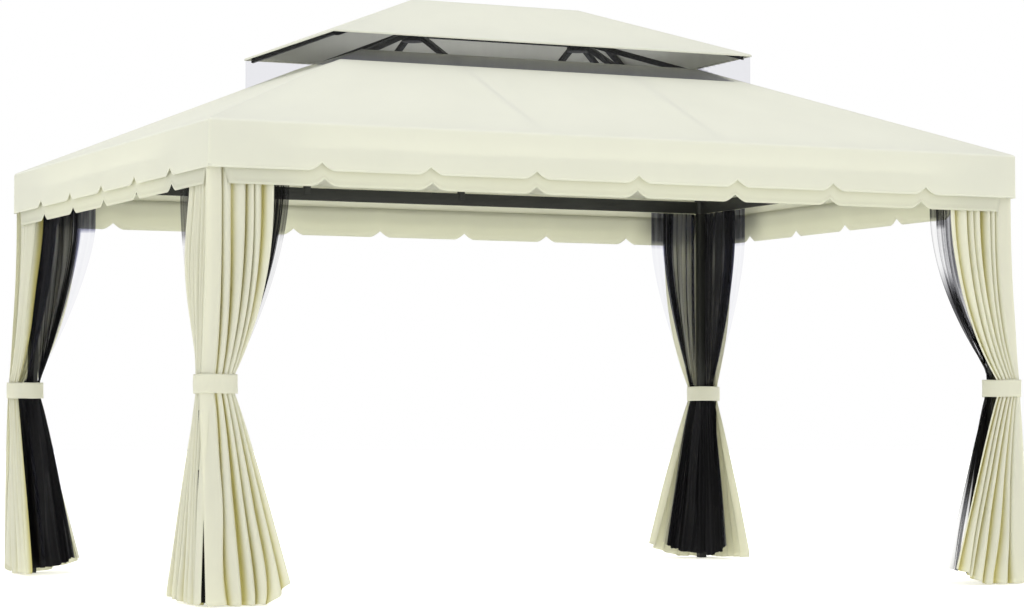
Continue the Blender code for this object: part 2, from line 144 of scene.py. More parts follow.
class GazeboCurtainSettings(bpy.types.PropertyGroup):
    """Sizes and colours of the curtains and ties"""

    colour: colour_property("Curtain colour", "Colour of the curtain cloth", "#F1F1E3")
    # Painted shade: the darker yellow painted into the curtain's colour deep between two folds
    fold_shade_colour: colour_property("Valley colour", "Colour deep between two folds", "#D8CF7C")
    top_arm: length_property("Top width", "Width of a gathered curtain under the beam", 0.215)
    low_arm: length_property("Hem width", "Width of a curtain at the ground", 0.285)
    depth: length_property("Fold depth", "Half depth of the folds between tie and hem", 0.022)
    thickness: length_property("Cloth thickness", "Thickness of the curtain cloth", 0.0010)


class GazeboNetSettings(bpy.types.PropertyGroup):
    """The insect nets and the vent's net"""

    colour: colour_property("Net colour", "Colour of the net's yarn", "#161619")
    vent_colour: colour_property("Vent net colour", "Colour of the vent's yarn", "#0B0B0D")
    folds: IntProperty(
        name="Folds", description="Small folds across one net", default=13, min=4, max=30,
    )
    cover: FloatProperty(
        name="Cover", description="Share of light that one layer of net stops",
        default=0.70, min=0.05, max=1.0, subtype="FACTOR",
    )
    vent_cover: FloatProperty(
        name="Vent cover", description="Share of light that the vent's net stops",
        default=0.50, min=0.05, max=1.0, subtype="FACTOR",
    )


class GazeboStageSettings(bpy.types.PropertyGroup):
    """Surroundings, light and camera"""

    backdrop: colour_property("Backdrop colour", "Colour of floor and surroundings", "#FFFFFF")
    sky: FloatProperty(
        name="Surrounding light", description="Strength of the even light from all round",
        default=1.0, min=0.0, max=5.0,
    )
    focal: FloatProperty(
        name="Focal length", description="Camera focal length in millimetres",
        default=101.03, min=10.0, max=500.0, unit="CAMERA",
    )


class GazeboSettings(bpy.types.PropertyGroup):
    """All of the gazebo's settings"""

    frame: PointerProperty(type=GazeboFrameSettings, name="Frame")
    roof: PointerProperty(type=GazeboRoofSettings, name="Roofs")
    curtain: PointerProperty(type=GazeboCurtainSettings, name="Curtains")
    net: PointerProperty(type=GazeboNetSettings, name="Nets")
    stage: PointerProperty(type=GazeboStageSettings, name="Stage")


def add_node(tree, kind, inputs=(), **settings):
    """Adds a node with its settings, and sets each input or links it to another node's output."""
    made = tree.nodes.new(kind)
    for key, value in settings.items():
        setattr(made, key, value)
    for key, value in dict(inputs).items():
        if isinstance(value, bpy.types.NodeSocket):
            tree.links.new(value, made.inputs[key])
        else:
            made.inputs[key].default_value = value
    return made


def new_material(name):
    """A new material with an empty node tree, and that tree."""
    made = bpy.data.materials.new(name)
    made.use_nodes = True
    made.node_tree.nodes.clear()
    return made, made.node_tree


def crossed_lines(tree, where, spacing, operation, **look):
    """Lines across and along the cloth at this spacing in metres, as one node's value."""
    # The bands of a wave texture are pi / (10 x scale) apart
    lines = [
        add_node(tree, "ShaderNodeTexWave", {
            "Vector": where, "Scale": math.pi / (10 * spacing), "Detail": 1.0, **look,
        }, wave_type="BANDS", bands_direction=axis)
        for axis in ("X", "Y")
    ]
    crossed = add_node(tree, "ShaderNodeMath", {
        0: lines[0].outputs["Fac"], 1: lines[1].outputs["Fac"],
    }, operation=operation)
    return crossed.outputs["Value"]


def powder_coated_steel(settings):
    """Steel tube with a baked powder coat: a dark satin skin, rippled a little like orange peel."""
    made, tree = new_material("powder_coated_steel")
    where = add_node(tree, "ShaderNodeTexCoord")
    # Ripples of a few millimetres, and slow patches where the coat is a little thicker
    ripple = add_node(tree, "ShaderNodeTexNoise", {
        "Vector": where.outputs["Object"], "Scale": 1 / settings.orange_peel, "Detail": 2.0,
    })
    patch = add_node(tree, "ShaderNodeTexNoise", {
        "Vector": where.outputs["Object"], "Scale": 6.0, "Detail": 3.0,
    })
    base = (*settings.colour, 1.0)
    lighter = (*[min(part * 1.5 + 0.004, 1.0) for part in settings.colour], 1.0)
    tone = add_node(tree, "ShaderNodeMix", {
        0: patch.outputs["Fac"], 6: base, 7: lighter,
    }, data_type="RGBA")
    sheen = add_node(tree, "ShaderNodeMapRange", {
        "Value": patch.outputs["Fac"], "To Min": 0.40, "To Max": 0.55,
    })
    bump = add_node(tree, "ShaderNodeBump", {
        "Height": ripple.outputs["Fac"], "Strength": 0.15, "Distance": 0.0003,
    })
    skin = add_node(tree, "ShaderNodeBsdfPrincipled", {
        "Base Color": tone.outputs[2], "Roughness": sheen.outputs["Result"],
        "IOR": 1.5, "Specular IOR Level": 0.22, "Normal": bump.outputs["Normal"],
    })
    add_node(tree, "ShaderNodeOutputMaterial", {"Surface": skin.outputs["BSDF"]})
    return made


def woven_polyester(name, colour, crease, glow, warm, deep=None, lined=False):
    """Woven polyester: matt, with a fine weave, soft creases, and light that comes through it.

    crease is the size of the creases across and along the cloth in metres, glow the share of
    light that passes, and warm the tint of the light that does. deep, for a folded cloth, is
    the painted shade colour where the fold_shade attribute is 1: shade painted into the valleys
    between folds. A lined cloth has a rain coating inside.
    """
    if name in bpy.data.materials:
        return bpy.data.materials[name]
    made, tree = new_material(name)
    uv = add_node(tree, "ShaderNodeUVMap", uv_map="UVMap")
    weave = crossed_lines(
        tree, uv.outputs["UV"], THREAD, "MULTIPLY", **{"Distortion": 1.2, "Detail Scale": 2.0},
    )
    stretch = add_node(tree, "ShaderNodeMapping", {
        "Vector": uv.outputs["UV"], "Scale": (1 / crease[0], 1 / crease[1], 1.0),
    })
    creases = add_node(tree, "ShaderNodeTexNoise", {
        "Vector": stretch.outputs["Vector"], "Scale": 1.0, "Detail": 4.0, "Roughness": 0.55,
    })
    # Slow changes of tone, about a third of a metre across
    cloud = add_node(tree, "ShaderNodeTexNoise", {
        "Vector": uv.outputs["UV"], "Scale": 3.0, "Detail": 3.0,
    })
    shade = (*[part * 0.94 for part in colour], 1.0)
    tone = add_node(tree, "ShaderNodeMix", {
        0: cloud.outputs["Fac"], 6: (*colour, 1.0), 7: shade,
    }, data_type="RGBA")
    # Painted shade: where the fold_shade attribute is 1, the colour is mixed all the way to the
    # darker valley colour
    if deep is not None:
        fold_shade = add_node(tree, "ShaderNodeAttribute", attribute_name="fold_shade")
        tone = add_node(tree, "ShaderNodeMix", {
            0: fold_shade.outputs["Fac"], 6: tone.outputs[2], 7: (*deep, 1.0),
        }, data_type="RGBA")
    folded = add_node(tree, "ShaderNodeBump", {
        "Height": creases.outputs["Fac"], "Strength": 0.35, "Distance": 0.002,
    })
    knit = add_node(tree, "ShaderNodeBump", {
        "Height": weave, "Strength": 0.25, "Distance": THREAD / 4,
        "Normal": folded.outputs["Normal"],
    })
    face = add_node(tree, "ShaderNodeBsdfPrincipled", {
        "Base Color": tone.outputs[2], "Roughness": 0.85, "IOR": 1.5,
        "Specular IOR Level": 0.25, "Sheen Weight": 0.12, "Sheen Roughness": 0.5,
        "Normal": knit.outputs["Normal"],
    })
    through = add_node(tree, "ShaderNodeBsdfTranslucent", {
        "Color": (*[part * tint for part, tint in zip(colour, linear(warm))], 1.0),
        "Normal": knit.outputs["Normal"],
    })
    passing = glow
    if lined:
        # Where the lining attribute is 1, no light comes through
        lining = add_node(tree, "ShaderNodeAttribute", attribute_name="lining")
        passing = add_node(tree, "ShaderNodeMapRange", {
            "Value": lining.outputs["Fac"], "To Min": glow, "To Max": 0.0,
        }).outputs["Result"]
    both = add_node(tree, "ShaderNodeMixShader", {
        0: passing, 1: face.outputs["BSDF"], 2: through.outputs["BSDF"],
    })
    add_node(tree, "ShaderNodeOutputMaterial", {"Surface": both.outputs["Shader"]})
    return made


def canopy_polyester(settings):
    """Coated polyester of the roofs: smooth and tight, with a weave that just shows."""
    return woven_polyester(
        "coated_polyester_canopy", settings.colour, (0.30, 0.45), 0.38, "#FFFDF8", lined=True,
    )


def trim_polyester(settings):
    """Polyester of the scalloped trims: the roof's cloth without its coating, painted a little
    darker for the shade behind the band.
    """
    return woven_polyester(
        "woven_polyester_trim", settings.shaded_trim_colour, (0.30, 0.45), 0.38, "#FFFDF8",
    )


def curtain_polyester(settings):
    """Soft polyester of the curtains: the same yarn, with long creases down the folds and painted
    shade in their valleys.
    """
    return woven_polyester(
        "woven_polyester_curtain", settings.colour, (0.06, 0.60), 0.44, "#FFFEF7",
        deep=settings.fold_shade_colour,
    )


def knitted_net(name, colour, cover, streaks, painted_see_through_tint):
    """Knitted polyester insect net: fine dark yarn, see-through in one layer and black in many.

    The cover attribute thins the net where it hangs as one stretched layer, streaks is how
    unevenly the yarn is drawn together, and painted_see_through_tint a painted blue tint on what
    shows through, which cancels the warm colour of lit cloth behind the net.
    """
    made, tree = new_material(name)
    uv = add_node(tree, "ShaderNodeUVMap", uv_map="UVMap")
    grid = crossed_lines(tree, uv.outputs["UV"], MESH, "MAXIMUM", Distortion=0.6)
    # Streaks about 30 mm wide and 0.6 m long, where the yarn is drawn together
    stretch = add_node(tree, "ShaderNodeMapping", {
        "Vector": uv.outputs["UV"], "Scale": (30.0, 1.6, 1.0),
    })
    streak = add_node(tree, "ShaderNodeTexNoise", {
        "Vector": stretch.outputs["Vector"], "Scale": 1.0, "Detail": 3.0,
    })
    mesh_cover = add_node(tree, "ShaderNodeMapRange", {
        "Value": grid, "To Min": cover * 0.82, "To Max": min(cover * 1.12, 1.0),
    })
    streaky = add_node(tree, "ShaderNodeMapRange", {
        "Value": streak.outputs["Fac"], "From Min": 0.3, "From Max": 0.7,
        "To Min": 1 - streaks, "To Max": 1 + streaks,
    })
    hang = add_node(tree, "ShaderNodeAttribute", attribute_name="cover")
    thinned = add_node(tree, "ShaderNodeMath", {
        0: mesh_cover.outputs["Result"], 1: hang.outputs["Fac"],
    }, operation="MULTIPLY")
    opacity = add_node(tree, "ShaderNodeMath", {
        0: thinned.outputs["Value"], 1: streaky.outputs["Result"],
    }, operation="MULTIPLY", use_clamp=True)
    yarn = add_node(tree, "ShaderNodeBsdfPrincipled", {
        "Base Color": (*colour, 1.0), "Roughness": 0.75, "IOR": 1.5,
        "Specular IOR Level": 0.2,
    })
    # Painted tint: what shows through the net is tinted blue, to cancel the warm colour of the lit
    # cloth behind it
    tint = add_node(tree, "ShaderNodeMix", {
        0: opacity.outputs["Value"], 6: (1.0, 1.0, 1.0, 1.0), 7: (*linear(painted_see_through_tint), 1.0),
    }, data_type="RGBA")
    clear = add_node(tree, "ShaderNodeBsdfTransparent", {"Color": tint.outputs[2]})
    both = add_node(tree, "ShaderNodeMixShader", {
        0: opacity.outputs["Value"], 1: clear.outputs["BSDF"], 2: yarn.outputs["BSDF"],
    })
    add_node(tree, "ShaderNodeOutputMaterial", {"Surface": both.outputs["Shader"]})
    return made


def paper_floor(settings):
    """Matt white studio floor that gives back an even soft light."""
    made, tree = new_material("matt_white_floor")
    where = add_node(tree, "ShaderNodeTexCoord")
    grain = add_node(tree, "ShaderNodeTexNoise", {
        "Vector": where.outputs["Object"], "Scale": 40.0, "Detail": 3.0,
    })
    bump = add_node(tree, "ShaderNodeBump", {
        "Height": grain.outputs["Fac"], "Strength": 0.05, "Distance": 0.001,
    })
    skin = add_node(tree, "ShaderNodeBsdfPrincipled", {
        "Base Color": (*settings.backdrop, 1.0), "Roughness": 0.95, "Specular IOR Level": 0.1,
        "Emission Color": (*linear("#FFFEF3"), 1.0), "Emission Strength": 0.50,
        "Normal": bump.outputs["Normal"],
    })
    add_node(tree, "ShaderNodeOutputMaterial", {"Surface": skin.outputs["BSDF"]})
    return made


def finish_piece(name, bm, material, node, smooth=180.0):
    """Turns a bmesh into a piece that rides on the gazebo and stands for a CAD node.

    Edges bent by more than smooth degrees stay sharp.
    """
    mesh = bpy.data.meshes.new(name)
    bm.to_mesh(mesh)
    bm.free()
    mesh.shade_smooth()
    mesh.set_sharp_from_angle(angle=math.radians(smooth))
    mesh.materials.append(material)
    piece = bpy.data.objects.new(name, mesh)
    bpy.context.scene.collection.objects.link(piece)
    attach(piece, "root")
    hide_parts(node)
    return piece


def thicken(piece, thickness, offset=0.0):
    """Gives a sheet its thickness: on both sides alike, or inwards for an offset of -1."""
    shell = piece.modifiers.new("Cloth thickness", "SOLIDIFY")
    shell.thickness = thickness
    shell.offset = offset


def lay_grid(columns, rows, place, flat, mark=None):
    """A sheet of columns by rows: place gives each crossing's point, flat its UV in metres.

    mark, where given, is an attribute's name and the function for its value at each crossing.
    """
    bm = bmesh.new()
    uv = bm.loops.layers.uv.new("UVMap")
    layer = bm.verts.layers.float.new(mark[0]) if mark else None
    last_column, last_row = len(columns) - 1, len(rows) - 1
    bmesh.ops.create_grid(bm, x_segments=last_column, y_segments=last_row, size=1.0)
    spots = {}
    for vert in bm.verts:
        column = columns[round((vert.co.x + 1) / 2 * last_column)]
        row = rows[round((vert.co.y + 1) / 2 * last_row)]
        spots[vert] = (column, row)
    for face in bm.faces:
        for loop in face.loops:
            loop[uv].uv = flat(*spots[loop.vert])
    for vert, spot in spots.items():
        vert.co = place(*spot)
        if mark:
            vert[layer] = mark[1](*spot)
    return bm


def face_outwards(bm, centre):
    """Makes a sheet's faces agree, and point away from a centre."""
    bmesh.ops.remove_doubles(bm, verts=bm.verts, dist=MERGE)
    bmesh.ops.recalc_face_normals(bm, faces=bm.faces)
    bm.normal_update()
    lean = sum(
        face.calc_area() * face.normal.dot(face.calc_center_median() - centre) for face in bm.faces
    )
    if lean < 0:
        bmesh.ops.reverse_faces(bm, faces=bm.faces)


def mesh_area(bm):
    """Area of a sheet's faces, before it gets its thickness."""
    return sum(face.calc_area() for face in bm.faces)


def smooth_share(value):
    """A share from 0 to 1 that starts and ends softly, and stays there outside them."""
    value = min(max(value, 0.0), 1.0)
    return value * value * (3 - 2 * value)


def mix(first, second, share):
    """The value at this share of the way between two others."""
    return first + (second - first) * share


def wobble(*place):
    """Smooth noise between about -1 and 1 that is the same on every run."""
    return noise.noise(Vector(place + (0.37,) * (3 - len(place))))


def on_rectangle(side, share, half_l, half_w):
    """A point on a rectangle: side 0 is the front, then right, back and left, share is -1 to 1."""
    if side == 0:
        return share * half_l, -half_w
    if side == 1:
        return half_l, share * half_w
    if side == 2:
        return -share * half_l, half_w
    return -half_l, -share * half_w


def outward(side):
    """The direction that a side of the gazebo faces in plan."""
    return ((0, -1), (1, 0), (0, 1), (-1, 0))[side]


def notch_rise(along, half, roof):
    """How far the scalloped edge is lifted at this distance from the middle of its side."""
    nearest = round(along / roof.pitch) * roof.pitch
    if abs(nearest) > half - roof.pitch / 2:
        return 0.0
    share = 1 - abs(along - nearest) / roof.notch_half
    return roof.notch_rise * share ** 1.5 if share > 0 else 0.0


def edge_stops(half, roof, step):
    """Column positions along a side: even, but closer together at each notch."""
    stops = []
    count = round(2 * half / roof.pitch)
    for index in range(count):
        start = -half + index * roof.pitch
        end = start + roof.pitch
        first = start + (roof.notch_half if index > 0 else 0.0)
        last = end - (roof.notch_half if index < count - 1 else 0.0)
        if index > 0:
            stops += [start + roof.notch_half * share for share in (0.12, 0.28, 0.46, 0.64, 0.82)]
        plain = max(round((last - first) / step), 1)
        stops += [mix(first, last, number / plain) for number in range(plain + 1)]
        if index < count - 1:
            stops += [end - roof.notch_half * share for share in (0.82, 0.64, 0.46, 0.28, 0.12)]
            stops.append(end)
    return stops


def roof_columns(half_l, half_w, roof, step):
    """Columns round the whole roof, as (side, share along it, distance along the edge)."""
    columns = []
    travelled = 0.0
    for side in range(4):
        half = half_l if side % 2 == 0 else half_w
        stops = edge_stops(half, roof, step)
        for along in stops if side == 3 else stops[:-1]:
            columns.append((side, along / half, travelled + along + half))
        travelled += 2 * half
    return columns


def even_columns(half_l, half_w, step):
    """Columns round a plain rectangle, evenly spaced, in the form of roof_columns."""
    columns = []
    travelled = 0.0
    for side in range(4):
        half = half_l if side % 2 == 0 else half_w
        count = round(half * 2 / step)
        for index in range(count + (1 if side == 3 else 0)):
            share = -1 + 2 * index / count
            columns.append((side, share, travelled + (share + 1) * half))
        travelled += 2 * half
    return columns


def make_lower_roof(scene):
    """The lower roof: one sheet from the vent over the eave to the scalloped edge."""
    roof = scene.gazebo.roof
    ridge_half = roof.ridge_half
    band_height = roof.eave - ROOF_LOW.z
    # The cloth starts to turn down at this share of its reach, and over this drop
    turn_share, turn_drop = 0.990, 0.009
    slope_rows = 26
    # A row is a reach from ridge to eave, a drop below the slope or band, and its kind
    rows = [
        (mix(roof.opening, turn_share, index / slope_rows), 0.0, "slope")
        for index in range(slope_rows + 1)
    ]
    for step in (0.25, 0.5, 0.75, 1.0):
        rows.append((1 - 0.010 * (1 - step) ** 2 * 0.7, turn_drop * step * step, "slope"))
    rows += [(1.0, share, "band") for share in (0.08, 0.22, 0.38, 0.54, 0.70, 0.86)]
    # The hem's fall above the edge, and how far it stands out from the band
    hem_rows = ((roof.hem, 0.0), (roof.hem - 0.0006, 0.0008), (0.0, 0.0008))
    rows += [(1.0, float(number), "hem") for number in range(len(hem_rows))]

    def place(column, row):
        side, share, travelled = column
        reach, drop, kind = row
        half_l = ridge_half + (HALF_L - ridge_half) * reach
        half_w = HALF_W * reach
        x, y = on_rectangle(side, share, half_l, half_w)
        half = HALF_L if side % 2 == 0 else HALF_W
        z = roof.peak - (roof.peak - roof.eave) * reach
        if kind == "slope":
            down = min(max((reach - roof.opening) / (1 - roof.opening), 0.0), 1.0)
            hang = (1 - share * share) * math.sin(math.pi * down) ** 0.8
            z -= roof.sag * hang
            z += 0.0012 * hang * wobble(x * 3.0, y * 3.0, 1.0)
            z -= drop
            return Vector((x, y, z))
        bottom = band_height - notch_rise(share * half, half, roof)
        if kind == "band":
            fall = mix(turn_drop, bottom - roof.hem - 0.001, drop)
            lift = 0.0
        else:
            above, lift = hem_rows[int(drop)]
            fall = bottom - above
        low = fall / band_height
        swing = low * low * (0.0030 + 0.0035 * wobble(travelled * 2.3, 4.0, low))
        swing *= smooth_share((1 - abs(share)) * half / 0.12)
        way = outward(side)
        x += way[0] * (swing + lift)
        y += way[1] * (swing + lift)
        return Vector((x, y, roof.eave - fall))

    def flat(column, row):
        reach, drop, kind = row
        down = reach * math.hypot(HALF_W, roof.peak - roof.eave)
        if kind == "slope":
            return column[2], down + drop
        return column[2], down + 0.2 * (drop if kind == "band" else 1.0)

    def lining(column, row):
        return 0.48 if row[2] == "slope" and row[0] < 1.0 else 0.0

    columns = roof_columns(HALF_L, HALF_W, roof, COLUMN_STEP)
    bm = lay_grid(columns, rows, place, flat, mark=("lining", lining))
    face_outwards(bm, Vector((0.0, 0.0, 1.2)))
    area = mesh_area(bm)
    piece = finish_piece(
        "lower_roof", bm, canopy_polyester(roof), "canopy_lower", 22.0,
    )
    thicken(piece, roof.thickness, -1.0)


def make_trims(scene):
    """The four scalloped strips that hang inside the band."""
    roof = scene.gazebo.roof
    # Each strip is a little narrower at the bottom, and its turned hem stands out
    slant = 0.045
    hem_start, hem_lift = 0.915, 0.0008
    rows = (0.0, 0.2, 0.4, 0.6, 0.8, 0.91, 0.92, 1.0)
    for side, name in enumerate(SIDES):
        low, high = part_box(f"trim_{name}")
        half = high.x if side % 2 == 0 else high.y
        other = HALF_W if side % 2 == 0 else HALF_L
        edge = HALF_L if side % 2 == 0 else HALF_W
        stops = [stop for stop in edge_stops(edge, roof, COLUMN_STEP) if abs(stop) < half - 0.03]
        stops = [-half, mix(-half, stops[0], 0.5), *stops, mix(half, stops[-1], 0.5), half]

        def place(along, down):
            z = mix(high.z, low.z + notch_rise(along, edge, roof), down)
            run = along * (1 - slant / half * (down - 0.5))
            inset = 0.0125 + 0.0030 * down * wobble(along * 2.1 + side * 3.0, 7.0, down)
            if down > hem_start:
                inset -= hem_lift
            way = outward(side)
            across = other - inset
            if side % 2 == 0:
                return Vector((run, way[1] * across, z))
            return Vector((way[0] * across, run, z))

        bm = lay_grid(stops, rows, place, lambda along, down: (along, down * 0.155))
        face_outwards(bm, Vector((0.0, 0.0, 1.8)))
        piece = finish_piece(
            f"scalloped_trim_{name}", bm, trim_polyester(roof), f"trim_{name}",
        )
        thicken(piece, roof.thickness)


def make_upper_roof(scene):
    """The upper roof: one sheet over its ridge and rafters, with a turned hem."""
    roof = scene.gazebo.roof
    # A row is a reach from ridge to eave, and a drop below the slope
    rows = [(index / 16, 0.0) for index in range(16)]
    rows += [(0.993, 0.0), (0.999, 0.0012), (1.0, 0.010)]

    def place(column, row):
        side, share = column[:2]
        reach, drop = row
        half_l = roof.ridge_half + (UPPER_HALF_L - roof.ridge_half) * reach
        x, y = on_rectangle(side, share, half_l, UPPER_HALF_W * reach)
        bay = (share + 1) / 2
        hang = math.sin(math.pi * bay) * math.sin(math.pi * reach) ** 0.8
        z = roof.upper_ridge - (roof.upper_ridge - roof.upper_eave) * reach - 0.004 * hang - drop
        z += 0.001 * hang * wobble(x * 4.0, y * 4.0, 2.0)
        return Vector((x, y, z))

    bm = lay_grid(
        even_columns(UPPER_HALF_L, UPPER_HALF_W, 0.03), rows, place,
        lambda column, row: (column[2], row[0] * 0.65 + row[1]),
        mark=("lining", lambda column, row: 0.45),
    )
    face_outwards(bm, Vector((0.0, 0.0, 1.5)))
    bmesh.ops.dissolve_degenerate(bm, edges=bm.edges, dist=MERGE)
    area = mesh_area(bm)
    piece = finish_piece(
        "upper_roof", bm, canopy_polyester(roof), "canopy_upper", 22.0,
    )
    thicken(piece, roof.thickness, -1.0)


def slope_height(roof, x, y):
    """Height of the lower roof's slopes above a place in plan."""
    reach = max((abs(x) - roof.ridge_half) / (HALF_L - roof.ridge_half), abs(y) / HALF_W)
    return roof.peak - (roof.peak - roof.eave) * reach


def make_vent_net(scene):
    """The net that closes the vent between the two roofs."""
    gazebo = scene.gazebo
    roof = gazebo.roof
    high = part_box("vent_mesh")[1]
    half_l, half_w = high.x - 0.001, high.y - 0.001
    rows = [index / 16 for index in range(17)]

    def place(column, down):
        x, y = on_rectangle(*column[:2], half_l, half_w)
        return Vector((x, y, mix(high.z, slope_height(roof, x, y) + 0.0005, down)))

    def cover(column, down):
        # Where the net is pulled wide it looks thin: below a slant on the left side, above one
        # on the right, in a wedge at the front's right end, and at the back's last stretch
        side, along = column[:2]
        if side == 3:
            thin = smooth_share((down + 0.06 - 0.59 * (1 + along)) / 0.06)
        elif side == 1:
            thin = smooth_share((1.1 - 0.5 * (1 + along) - down) / 0.10)
        elif side == 0:
            part = (1 - along) * half_l / 0.29
            thin = smooth_share((0.62 * (1 - part) - abs(down - 0.60)) / 0.05)
        else:
            thin = smooth_share((0.42 - (1 - along) * half_l) / 0.04)
        return mix(mix(0.98, 1.12, smooth_share((down - 0.3) / 0.7)), 0.16, thin)

    columns = even_columns(half_l, half_w, 0.012)
    bm = lay_grid(
        columns, rows, place, lambda column, down: (column[2], down * 0.16),
        mark=("cover", cover),
    )
    face_outwards(bm, Vector((0.0, 0.0, slope_height(roof, 0.0, half_w))))
    area = mesh_area(bm)
    # Painted tint: a blue tint on what shows through cancels the warm colour of the cream cloth
    # behind the vent
    yarn = knitted_net(
        "knitted_vent_net", gazebo.net.vent_colour, gazebo.net.vent_cover, 0.02, "#E2E3FF",
    )
    piece = finish_piece("vent_net_skirt", bm, yarn, "vent_mesh")


def corner_point(corner, arm, along, depth, height):
    """A point in a corner's own plan: along the arm inwards, depth into the gazebo."""
    sx, sy = CORNERS[corner]
    u, v = (along, depth) if arm == "long" else (depth, along)
    return Vector((sx * (POST_X - u), sy * (POST_Y - v), height))


def bundle_point(bearing, radius):
    """A point of the tied bundle: bearing 0 looks along the arm, inwards."""
    angle = math.radians(bearing)
    return radius * math.cos(angle) - TIE_OFFSET, radius * math.sin(angle) - TIE_OFFSET


def along_line(points, share):
    """The point at this share of the length of a bent line."""
    lengths = [math.dist(first, second) for first, second in zip(points, points[1:])]
    left = share * sum(lengths)
    for index, length in enumerate(lengths):
        if left <= length or index == len(lengths) - 1:
            part = left / length
            first, second = points[index], points[index + 1]
            return mix(first[0], second[0], part), mix(first[1], second[1], part)
        left -= length


def drape_path(recipe, height, share):
    """Centre line of a hanging sheet at one height, from its free edge to the post's corner."""
    half = (TIE_HIGH.z - TIE_LOW.z) / 2
    away = max(abs(height - TIE_MIDDLE) - half * 0.8, 0.0)
    # The sheet is fully open this far above and below the tie
    open_above, open_below = 0.80, 0.84
    if height > TIE_MIDDLE:
        open_line, bearings = recipe["top"], recipe["tie_top"]
        spread = 1 - (1 - min(away / open_above, 1.0)) ** recipe["top_power"]
    else:
        open_line, bearings = recipe["low"], recipe["tie_low"]
        spread = min(away / open_below, 1.0) ** recipe["low_power"]
    bearing = mix(bearings[0], bearings[1], share)
    tied = bundle_point(bearing, recipe["tie_radius"])
    wide = along_line(open_line, share)
    # It swings outwards most at 1.42 m up, at its free edge
    swell = recipe["swell"] * math.exp(-((height - 1.42) / 0.26) ** 2) * (1 - share)
    return mix(tied[0], wide[0], spread), mix(tied[1], wide[1], spread) - swell, spread


def fold_seats(widths, plain):
    """Where each fold starts along the path, as shares, with a plain strip after the last one."""
    scale = (1 - plain) / sum(widths)
    seats = [0.0]
    for width in widths:
        seats.append(seats[-1] + width * scale)
    return seats + [1.0]


def fold_widths(seed, folds, uneven):
    """Widths of a row of folds around 1, that differ with the seed."""
    return [
        max(1 + uneven * wobble(fold * 1.73, seed * 3.3), 0.35) for fold in range(folds)
    ]


def at_seat(seats, turn):
    """The share of the path at a number of folds from the free edge."""
    whole = min(int(turn), len(seats) - 2)
    return mix(seats[whole], seats[whole + 1], turn - whole)


